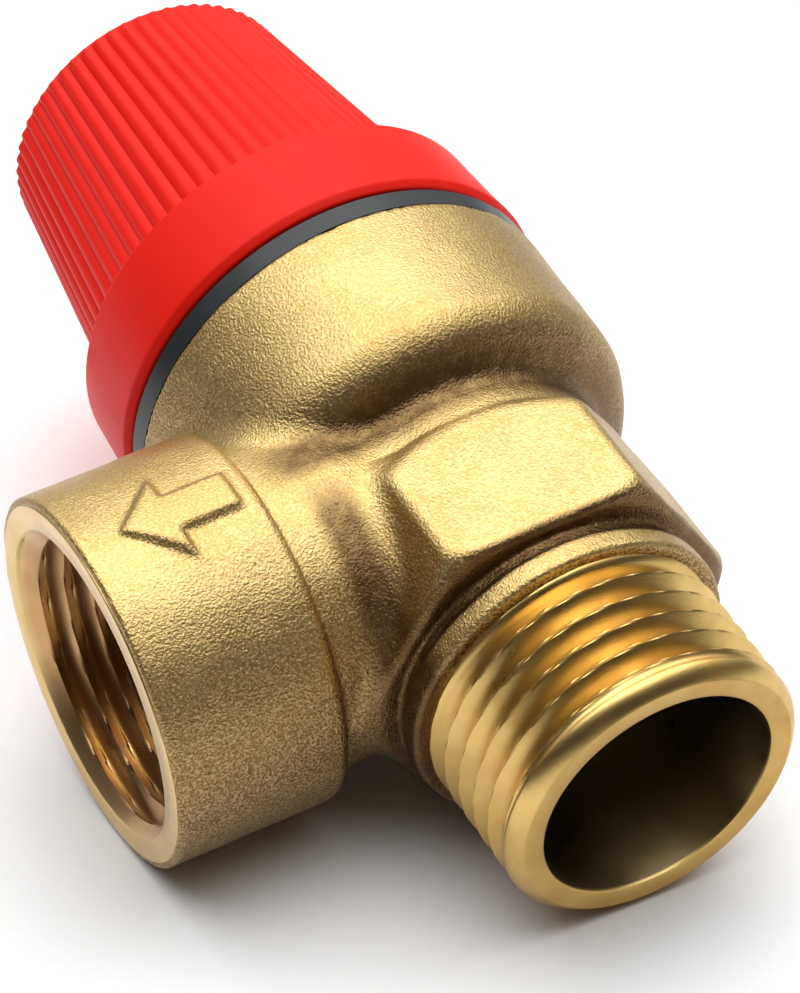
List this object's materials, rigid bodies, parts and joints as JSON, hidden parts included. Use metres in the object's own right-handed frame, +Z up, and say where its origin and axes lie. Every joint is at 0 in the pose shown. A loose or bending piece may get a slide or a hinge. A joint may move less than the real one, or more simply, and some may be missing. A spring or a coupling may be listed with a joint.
{
  "type": "pressure relief valve",
  "caption": "Angle safety relief valve: brass body with male inlet and female outlet, wrench hexagon, and ribbed red lift knob over a spring-loaded disc.",
  "frame": {"origin": "middle of the object's footprint, on the surface that the valve lies on", "axes": "+X along the valve from the knob to the inlet (the inlet axis dips 9.8 degrees below it), -Y along the outlet, +Z up, away from the surface"},
  "size_m": [0.0724, 0.0434, 0.0336],
  "materials": {
    "cast_brass": "sandblasted",
    "red_plastic": "satin",
    "black_plastic": "satin",
    "rubber": "matt",
    "steel": "brushed",
    "spring_steel": "bright",
    "turned_brass": "machined",
    "white_plastic": "satin"
  },
  "bodies": {
    "housing": {"valve_body": "cast_brass", "bonnet": "black_plastic", "bonnet_oring": "rubber", "diaphragm": "rubber", "diaphragm_ring": "steel", "spring": "spring_steel", "upper_spring_seat": "steel", "adjusting_nut": "turned_brass", "guide_bush": "white_plastic"},
    "lift_stem": {"spindle": "steel", "lift_washer": "steel", "lift_nut": "steel", "disc_holder": "turned_brass", "seat_seal": "rubber", "seal_washer": "steel", "seal_screw": "steel", "clamp_washer": "steel", "lower_spring_seat": "steel", "clamp_nut": "steel"},
    "hand_knob": {"knob": "red_plastic", "top_cap": "red_plastic"}
  },
  "joints": [
    {"name": "disc_lift", "type": "slide", "parent": "housing", "child": "lift_stem", "axis": [-0.9854, 0, 0.1704], "range_m": [0, 0.002], "stiffness_N_per_m": 50, "springref_m": -0.002, "deforming": ["spring", "diaphragm"]},
    {"name": "knob_turn", "type": "hinge", "parent": "lift_stem", "child": "hand_knob", "pos_m": [-0.02897, 0.00596, 0.02111], "axis": [-0.9854, 0, 0.1704], "range_deg": [0, 60]}
  ],
  "couplings": [
    {"joint": "knob_turn", "follows": "disc_lift", "rad_per_m": 523.55}
  ]
}
